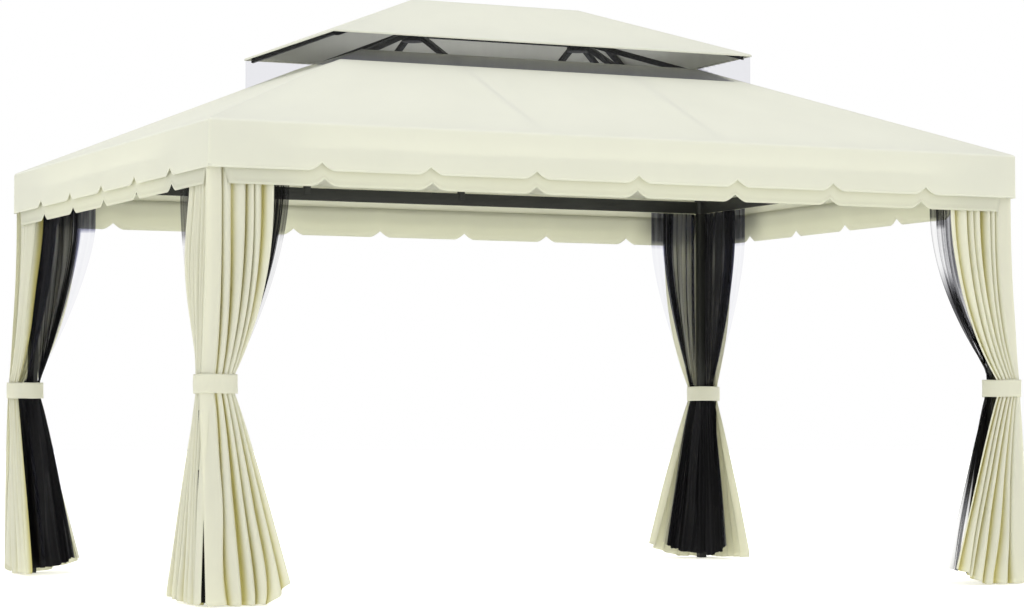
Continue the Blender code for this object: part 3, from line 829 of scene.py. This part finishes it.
def hanging_sheet(corner, arm, recipe, mark):
    """A gathered sheet: folds that run from the beam through the tie to the hem.

    Its columns are counted in folds from the free edge, and its rows in shares of the height.
    The recipe gives the folds' number and widths, the lines in plan that the sheet follows at
    top and hem, its bearings round the post at the tie, and how round, deep and slack the folds
    are. mark is an attribute's name and the function for its value.
    """
    seed = recipe["seed"]
    folds = len(recipe["widths"])
    open_seats = fold_seats(recipe["widths"], recipe["plain"])
    tied_seats = fold_seats(fold_widths(seed + 0.2, folds, recipe["uneven"]), recipe["plain_tied"])
    low_seats = fold_seats(fold_widths(seed + 0.7, folds, recipe["uneven"]), recipe["plain"])
    per_fold = recipe["per_fold"]
    columns = [index / per_fold for index in range(folds * per_fold + 1)]
    columns += [folds + number / 5 for number in range(1, 6)]
    top, bottom = recipe["top_z"], recipe["bottom_z"]
    count = recipe["rows"]
    rows = [index / count for index in range(count + 1)]

    def height_of(turn, down):
        share = turn / (folds + 1)
        amount, knee = recipe["rise"]
        low = bottom + amount * max(1 - share / knee, 0.0)
        low += recipe["ragged"] * (0.5 + wobble(turn * 0.9, seed * 5.1))
        low += recipe["round_corner"] * max((share - 0.92) / 0.08, 0.0) ** 2
        low += recipe["tail"] * smooth_share((share - 0.7) / 0.2)
        return mix(top, low, down)

    def level_of(turn, height):
        """The folds' profile: 1 on a ridge and -1 in a deep valley."""
        whole = min(int(turn), folds)
        part = turn - whole if turn < folds else 0.0
        sharp = 0.5 + 0.5 * wobble(whole * 3.1, height * 0.6, seed + 6.0)
        soft = recipe["round" if height > TIE_MIDDLE else "round_low"]
        level = 2 * abs(math.cos(math.pi * part)) ** mix(*soft, sharp) - 1
        # Some valleys are shallow, and some ridges low
        deep = 0.5 + 0.8 * wobble(whole * 1.9, height * 0.8, seed + 9.0)
        lows = [
            0.35 * (0.5 + wobble(ridge * 2.7, height * 0.7, seed + 3.0))
            for ridge in (whole, whole + 1)
        ]
        drop = mix(lows[0], lows[1], smooth_share(part)) * (0.5 + 0.5 * level)
        level = 1 - (1 - level) * mix(0.60, 1.15, min(max(deep, 0.0), 1.0)) - max(drop, 0.0)
        return level + 0.14 * wobble(turn * 2.2, height * 1.6, seed + 4.0)

    def seat_of(turn, height):
        whole = min(int(turn), folds)
        part = turn - whole if turn < folds else 0.0
        # Folds lean over each other, and wander on their way down
        lean = recipe["lean"] * (0.80 + 0.4 * wobble(whole * 2.1, height * 0.9, seed))
        if height < TIE_MIDDLE:
            lean *= 0.7
        slip = lean * math.sin(2 * math.pi * part) / (2 * math.pi)
        wander = recipe["wander"] * wobble(turn * 0.6, height * 1.1, seed + 2.0)
        if height < TIE_MIDDLE:
            loose = 0.75 * (1 - height / TIE_MIDDLE)
            wander += loose * wobble(turn * 0.6, height * 2.2, seed + 7.0)
        wander *= smooth_share(min(turn, folds + 1 - turn) / 1.2)
        moved = min(max(turn + slip + wander, 0.0), folds + 1.0)
        spread = drape_path(recipe, height, 0.5)[2]
        wide = at_seat(open_seats if height > TIE_MIDDLE else low_seats, moved)
        seat = mix(at_seat(tied_seats, moved), wide, spread)
        return recipe["spacing"](seat, height > TIE_MIDDLE)

    def place(turn, down):
        height = height_of(turn, down)
        seat = seat_of(turn, height)
        u, v, spread = drape_path(recipe, height, seat)
        ahead = drape_path(recipe, height, min(seat + 0.01, 1.0))
        behind = drape_path(recipe, height, max(seat - 0.01, 0.0))
        way = Vector((ahead[0] - behind[0], ahead[1] - behind[1]))
        way.normalize()
        open_depth = recipe["depth_top" if height > TIE_MIDDLE else "depth_low"]
        depth = mix(recipe["depth_tie"], open_depth, min(spread * 1.6, 1.0))
        if height > TIE_MIDDLE:
            # Near the post there is less room for deep folds
            depth *= mix(1.0, recipe["post_share"], smooth_share((seat - 0.6) / 0.4))
        level = level_of(turn, height)
        if recipe["flat_edge"]:
            level *= smooth_share(turn * 0.6)
        u -= way.y * level * depth
        v += way.x * level * depth
        return corner_point(corner, arm, u, v, height)

    def flat(turn, down):
        return turn / (folds + 1) * recipe["cloth_width"], (1 - down) * (top - bottom)

    def value(turn, down):
        height = height_of(turn, down)
        return mark[1](seat_of(turn, height), height, level_of(turn, height))

    bm = lay_grid(columns, rows, place, flat, (mark[0], value))
    face_outwards(bm, Vector((0.0, 0.0, 1.0)))
    return bm


def make_curtains(scene):
    """Two gathered curtains at every corner, one along each side, held by one tie."""
    curtain = scene.gazebo.curtain
    fabric = curtain_polyester(curtain)
    top_z = BEAM_BOTTOM - 0.002
    fall = top_z - 0.014
    # Every curtain hangs a little differently: its widths at top and hem, its folds from the
    # free edge, how far the hem rises and over which share, and how far it swings outwards
    hangs = {
        ("A", "long"): (0.215, 0.285, (1.6, 0.7, 1.1, 1.4, 0.9), (0.085, 0.24), 0.010),
        ("A", "short"): (
            0.225, 0.330, (1.0, 0.6, 0.9, 0.5, 0.8, 0.6, 0.9, 0.6), (0.020, 0.60), 0.028,
        ),
        ("B", "long"): (0.265, 0.300, (1.7, 0.85, 0.7, 1.05, 0.7, 1.0), (0.075, 0.55), 0.012),
        ("B", "short"): (0.230, 0.330, (1.1, 0.8, 1.2, 0.7, 1.0), (0.020, 0.60), 0.010),
        ("C", "long"): (0.240, 0.290, (1.2, 0.8, 1.3, 0.7, 1.0), (0.060, 0.50), 0.010),
        ("C", "short"): (0.230, 0.330, (0.9, 1.2, 0.7, 1.1, 0.8, 0.9), (0.010, 0.60), 0.020),
        ("D", "long"): (0.200, 0.280, (1.3, 0.8, 1.1, 0.7, 1.1), (0.075, 0.45), 0.006),
        ("D", "short"): (0.240, 0.330, (1.0, 0.8, 1.2, 0.9, 0.7), (0.010, 0.60), 0.006),
    }
    for number, ((corner, arm), hang) in enumerate(hangs.items()):
        top_arm, low_arm, widths, rise, swell = hang
        top_arm *= curtain.top_arm / 0.215
        low_arm *= curtain.low_arm / 0.285
        outer = arm == "long"
        top_end = [(-0.060, -0.050), (-0.067, -0.034)] if outer else [(-0.047, -0.044)]
        # The painted shade in the valleys is much weaker on the far curtains, where light from
        # outside fills their valleys, as seen from under the roof
        fold_shade_share = 0.10 if corner == "D" or (corner, arm) == ("C", "long") else 1.0
        recipe = {
            "seed": number + 1.0,
            "widths": widths,
            "uneven": 1.2,
            "per_fold": 14,
            "rows": 84,
            "plain": 0.17,
            "plain_tied": 0.34 if outer else 0.20,
            "top_z": top_z,
            "bottom_z": 0.002,
            "rise": rise,
            "ragged": 0.005,
            "round_corner": 0.014,
            "tail": 0.032 if (corner, arm) == ("C", "short") else 0.0,
            "lean": 0.95,
            "wander": 0.38,
            "round": (0.8, 2.4),
            "round_low": (1.0, 2.6),
            "top": [(top_arm, -0.034), (0.060, -0.040), *top_end],
            "low": [(low_arm, -0.100), (-0.103, -0.108) if outer else (-0.099, -0.091)],
            "tie_top": (-42.0, -156.0) if outer else (-42.0, -138.0),
            "tie_low": (-42.0, -160.0) if outer else (-42.0, -148.0),
            "tie_radius": 0.076 if outer else 0.071,
            "top_power": 2.2,
            "low_power": 0.92,
            "depth_top": 0.024,
            "depth_tie": 0.010,
            "depth_low": curtain.depth,
            "flat_edge": False,
            "post_share": 0.60,
            "swell": swell,
            "spacing": lambda share, above: share,
            "cloth_width": 0.85,
        }

        # Painted shade: how much of the darker valley colour each point gets, most deep in a fold
        def fold_shade(seat, height, level):
            return fold_shade_share * smooth_share((0.55 - level) / 1.35)

        bm = hanging_sheet(corner, arm, recipe, ("fold_shade", fold_shade))
        width = mesh_area(bm) / fall
        piece = finish_piece(
            f"curtain_{corner}_{arm}", bm, fabric, f"curtain_{corner}",
        )
        thicken(piece, curtain.thickness)


def make_nets(scene):
    """Two gathered insect nets at every corner, between the post and the curtains."""
    net = scene.gazebo.net
    # The far nets hang in front of sunlit cream cloth, the near ones in front of open air, so the
    # far nets' copy gets a much stronger painted blue tint on what shows through
    near = knitted_net("knitted_insect_net_near", net.colour, net.cover, 0.30, "#FAFAFF")
    far = knitted_net("knitted_insect_net_far", net.colour, net.cover, 0.30, "#CED1FF")
    yarns = {"A": near, "B": near, "C": far, "D": far}
    top_z = BEAM_BOTTOM - 0.004
    fall = top_z - 0.030
    # The widths of each net at the beam and at the hem
    arms = {
        "A": {"long": (0.310, 0.250), "short": (0.560, 0.300)},
        "B": {"long": (0.338, 0.330), "short": (0.450, 0.300)},
        "C": {"long": (0.320, 0.275), "short": (0.450, 0.260)},
        "D": {"long": (0.320, 0.250), "short": (0.520, 0.270)},
    }
    # The free strip's share of the path at top and hem, the height below which it is one
    # stretched layer, the share of the bunch of folds beside it, how dense the bunch and the
    # rest are, and how soon the net opens above the tie
    hangs = {
        "A": ((0.10, 0.06), 1.54, 0.16, (1.25, 1.0), 1.75),
        "B": ((0.15, 0.13), 1.70, 0.34, (0.42, 0.42), 1.9),
        "C": ((0.24, 0.10), 1.725, 0.16, (1.25, 1.05), 1.45),
        "D": ((0.24, 0.06), 1.745, 0.18, (1.20, 0.62), 1.5),
    }
    for index, (corner, hang) in enumerate(hangs.items()):
        (top_strip, low_strip), thin_below, bunch, dense, power = hang
        for number, arm in enumerate(("long", "short")):
            seed = 20.0 + index * 2.0 + number
            if (corner, arm) == ("A", "short"):
                top_strip = 0.24
            if (corner, arm) == ("D", "short"):
                dense = (1.20, 1.20)

            def spacing(share, above):
                # A plain strip at the free edge, a dense bunch of folds, then wider ones
                strip_end, bunch_end = 0.12, 0.50
                plain = top_strip if above else low_strip
                if share < strip_end:
                    return share / strip_end * plain
                if share < bunch_end:
                    part = (share - strip_end) / (bunch_end - strip_end)
                    return mix(plain, plain + bunch, part)
                return mix(plain + bunch, 1.0, (share - bunch_end) / (1 - bunch_end))

            def cover(seat, height, level):
                if height < TIE_HIGH.z:
                    edge = smooth_share((low_strip + 0.03 - seat) / 0.05)
                    full = 1.7
                    if corner == "B":
                        # Here the lower part of the net spreads out into one grey layer
                        held = max((height - 0.25) / 0.55, (seat - 0.26) / 0.06)
                        full = mix(0.66, 1.7, smooth_share(held))
                    return mix(full, 0.12, edge)
                edge = smooth_share((top_strip + 0.03 - seat) / 0.05)
                under = smooth_share((thin_below + 0.01 - height) / 0.02)
                full = mix(*dense, smooth_share((seat - top_strip - bunch) / 0.06))
                thin = 0.22 if corner == "A" else 0.10
                hem = 0.0
                if corner == "B":
                    # Lower down the free edge is drawn together, and turns dark
                    drawn = smooth_share((1.50 - height) / 0.20)
                    thin = mix(thin, 1.3, drawn)
                    full *= 1 - 0.65 * drawn
                    full += 0.9 * drawn * smooth_share((top_strip + 0.05 - seat) / 0.05)
                    hem = 0.6 * smooth_share((0.02 - seat) / 0.015)
                return mix(full, mix(1.0, thin, under), edge) + hem

            top_arm, low_arm = arms[corner][arm]
            low = [(low_arm, -0.010), (0.120, 0.020), (0.034, 0.046)]
            if arm == "long":
                # Under the tie this net goes round the post, as far as the outer corner
                low += [(-0.045, 0.050), (-0.080, -0.020), (-0.080, -0.075)]
            recipe = {
                "seed": seed,
                "widths": fold_widths(seed, net.folds, 0.8),
                "uneven": 0.8,
                "per_fold": 8,
                "rows": 72,
                "plain": 0.05,
                "plain_tied": 0.05,
                "top_z": top_z,
                "bottom_z": 0.026,
                "rise": (0.050, 0.60),
                "ragged": 0.014,
                "round_corner": 0.0,
                "tail": -0.020 if arm == "long" else 0.0,
                "lean": 0.3,
                "wander": 0.55,
                "round": (0.9, 2.2),
                "round_low": (0.9, 2.2),
                "top": [(top_arm, 0.012), (0.070, 0.006), (0.027, -0.022), (0.004, -0.026)],
                "low": low,
                "tie_top": (-28.0, 24.0),
                "tie_low": (-28.0, 46.0) if arm == "short" else (-28.0, 215.0),
                "tie_radius": 0.070,
                "top_power": power,
                "low_power": 0.85,
                "depth_top": 0.015,
                "depth_tie": 0.005,
                "depth_low": 0.014,
                "flat_edge": True,
                "post_share": 0.5,
                "swell": 0.0,
                "spacing": spacing,
                "cloth_width": 0.8,
            }
            bm = hanging_sheet(corner, arm, recipe, ("cover", cover))
            width = mesh_area(bm) / fall
            piece = finish_piece(
                f"net_{corner}_{arm}", bm, yarns[corner], f"netting_{corner}",
            )


def make_ties(scene):
    """The cloth band round each bundle, its ends lapped over each other."""
    curtain = scene.gazebo.curtain
    fabric = curtain_polyester(curtain)
    height = TIE_HIGH.z - TIE_LOW.z
    # Once round and a little further, in radians, where the ends lap over each other
    way_round = 2 * math.pi + 0.5
    length = way_round * TIE_RADIUS
    columns = [index / 88 for index in range(89)]
    rows = [index / 8 for index in range(9)]
    for number, (corner, (sx, sy)) in enumerate(CORNERS.items()):
        middle_x, middle_y = sx * (POST_X + TIE_OFFSET), sy * (POST_Y + TIE_OFFSET)

        def place(round_share, up):
            bearing = sx * sy * (math.radians(-30) + round_share * way_round)
            bearing += math.radians(0 if sy < 0 else 120)
            over = smooth_share((round_share * way_round - 2 * math.pi) / 0.15)
            radius = TIE_RADIUS - 0.0045 + 0.0022 * over
            radius += 0.0022 * wobble(bearing * 2.2, up * 1.5, number + 0.5)
            radius -= 0.0016 * math.sin(math.pi * up) * wobble(bearing * 5.0, number + 2.0)
            x = middle_x + radius * math.cos(bearing)
            y = middle_y + radius * math.sin(bearing)
            z = TIE_LOW.z + height * up + 0.0025 * wobble(bearing * 1.1, number + 5.0)
            return Vector((x, y, z))

        bm = lay_grid(columns, rows, place, lambda turn, up: (turn * length, up * height))
        face_outwards(bm, Vector((middle_x, middle_y, 0.9)))
        piece = finish_piece(f"tie_band_{corner}", bm, fabric, f"tie_{corner}")
        thicken(piece, 0.0016)


def make_frame_pieces(scene):
    """Every steel node again, with rounded corners and its powder coat."""
    settings = scene.gazebo.frame
    coat = powder_coated_steel(settings)
    for part in frame["record"]["subparts"]:
        name = part["node"]
        if part["material_slot"] != METAL_SLOT:
            continue
        bm = bmesh.new()
        bm.from_mesh(frame["nodes"][name].data)
        bmesh.ops.remove_doubles(bm, verts=bm.verts, dist=MERGE)
        bmesh.ops.dissolve_limit(
            bm, angle_limit=math.radians(1), verts=bm.verts, edges=bm.edges,
        )
        sharp = [edge for edge in bm.edges if edge.calc_face_angle(0.0) > math.radians(30)]
        # The brackets are bent sheet steel, too thin for a wider bevel
        bevel = min(settings.bevel, 0.0010 if "bracket" in name else settings.bevel)
        bmesh.ops.bevel(
            bm, geom=sharp, offset=bevel, offset_type="OFFSET", affect="EDGES", segments=2,
            profile=0.5, material=-1, clamp_overlap=True,
        )
        finish_piece(f"steel_{name}", bm, coat, name, 40.0)


def add_area_light(name, place, aim, size, power, colour):
    """A softbox at a place, turned to what it lights."""
    data = bpy.data.lights.new(name, "AREA")
    data.shape = "RECTANGLE"
    data.size, data.size_y = size
    data.energy = power
    data.color = linear(colour)
    light = bpy.data.objects.new(name, data)
    bpy.context.scene.collection.objects.link(light)
    light.location = place
    light.rotation_euler = (Vector(aim) - Vector(place)).to_track_quat("-Z", "Y").to_euler()


def make_stage(scene):
    """Pale floor, soft light from all round and the camera of the reference view."""
    stage = scene.gazebo.stage
    bm = bmesh.new()
    bmesh.ops.create_circle(bm, cap_ends=True, radius=60.0, segments=96)
    mesh = bpy.data.meshes.new("studio_floor")
    bm.to_mesh(mesh)
    bm.free()
    mesh.materials.append(paper_floor(stage))
    floor = bpy.data.objects.new("studio_floor", mesh)
    scene.collection.objects.link(floor)
    # Just under the posts' feet, so that the two don't flicker
    floor.location.z = -0.001

    # Even light from all round, and three softboxes that give the cloth its soft shade
    world = bpy.data.worlds.new("soft_studio")
    world.use_nodes = True
    back = world.node_tree.nodes["Background"]
    back.inputs["Color"].default_value = (*stage.backdrop, 1.0)
    back.inputs["Strength"].default_value = stage.sky
    scene.world = world
    add_area_light("overhead_softbox", (-1.5, -3.0, 9.0), (0, 0, 2), (8, 8), 56, "#FFFFFF")
    add_area_light("left_softbox", (-9.0, -2.0, 8.0), (0, 0, 2.0), (5, 5), 50, "#FFFFFF")
    add_area_light("front_softbox", (2.0, -11.0, 2.5), (0, 0, 1.2), (6, 4), 4, "#FFF6DE")

    # Where the reference view was taken from, fitted to the gazebo's own corners
    data = bpy.data.cameras.new("front_camera")
    data.sensor_width = 36.0
    data.lens = stage.focal
    data.clip_end = 200.0
    camera = bpy.data.objects.new("front_camera", data)
    scene.collection.objects.link(camera)
    camera.location = (-5.878, -12.728, 0.760)
    camera.rotation_euler = (math.radians(92.339), 0.0, math.radians(-25.098))
    scene.camera = camera
    scene.view_settings.view_transform = "Standard"


class GAZEBO_OT_frame(bpy.types.Operator):
    """Round and coat the posts, beams, rafters, hubs and ridges"""
    bl_idname = "gazebo.make_frame"
    bl_label = "Steel frame"

    def execute(self, context):
        make_frame_pieces(context.scene)
        return {"FINISHED"}


class GAZEBO_OT_lower_roof(bpy.types.Operator):
    """Lay the lower roof cloth with its scalloped band"""
    bl_idname = "gazebo.make_lower_roof"
    bl_label = "Lower roof"

    def execute(self, context):
        make_lower_roof(context.scene)
        return {"FINISHED"}


class GAZEBO_OT_trims(bpy.types.Operator):
    """Hang the scalloped trims inside the band"""
    bl_idname = "gazebo.make_trims"
    bl_label = "Scalloped trims"

    def execute(self, context):
        make_trims(context.scene)
        return {"FINISHED"}


class GAZEBO_OT_upper_roof(bpy.types.Operator):
    """Lay the upper roof and the vent net under it"""
    bl_idname = "gazebo.make_upper_roof"
    bl_label = "Upper roof and vent"

    def execute(self, context):
        make_upper_roof(context.scene)
        make_vent_net(context.scene)
        return {"FINISHED"}


class GAZEBO_OT_curtains(bpy.types.Operator):
    """Hang the curtains and tie them"""
    bl_idname = "gazebo.make_curtains"
    bl_label = "Curtains and ties"

    def execute(self, context):
        make_ties(context.scene)
        make_curtains(context.scene)
        return {"FINISHED"}


class GAZEBO_OT_nets(bpy.types.Operator):
    """Hang the insect nets"""
    bl_idname = "gazebo.make_nets"
    bl_label = "Insect nets"

    def execute(self, context):
        make_nets(context.scene)
        return {"FINISHED"}


class GAZEBO_OT_stage(bpy.types.Operator):
    """Set the floor, the light and the camera"""
    bl_idname = "gazebo.make_stage"
    bl_label = "Stage"

    def execute(self, context):
        make_stage(context.scene)
        return {"FINISHED"}


OPERATORS = (
    GAZEBO_OT_frame, GAZEBO_OT_lower_roof, GAZEBO_OT_trims, GAZEBO_OT_upper_roof,
    GAZEBO_OT_curtains, GAZEBO_OT_nets, GAZEBO_OT_stage,
)


class GAZEBO_PT_panel(bpy.types.Panel):
    """Lists the gazebo's settings and the buttons that make its pieces"""
    bl_label = "Garden gazebo"
    bl_idname = "GAZEBO_PT_panel"
    bl_space_type = "VIEW_3D"
    bl_region_type = "UI"
    bl_category = "Gazebo"

    def draw(self, context):
        gazebo = context.scene.gazebo
        for title in ("frame", "roof", "curtain", "net", "stage"):
            group = getattr(gazebo, title)
            box = self.layout.box()
            box.label(text=title.capitalize())
            for key in group.__annotations__:
                box.prop(group, key)
        for operator in OPERATORS:
            self.layout.operator(operator.bl_idname)


CLASSES = (
    GazeboFrameSettings, GazeboRoofSettings, GazeboCurtainSettings, GazeboNetSettings,
    GazeboStageSettings, GazeboSettings, *OPERATORS, GAZEBO_PT_panel,
)


def register():
    for item in CLASSES:
        bpy.utils.register_class(item)
    bpy.types.Scene.gazebo = PointerProperty(type=GazeboSettings)


def unregister():
    del bpy.types.Scene.gazebo
    for item in reversed(CLASSES):
        bpy.utils.unregister_class(item)


def main():
    register()
    for operator in OPERATORS:
        group, name = operator.bl_idname.split(".")
        getattr(getattr(bpy.ops, group), name)()


if __name__ == "__main__":
    main()
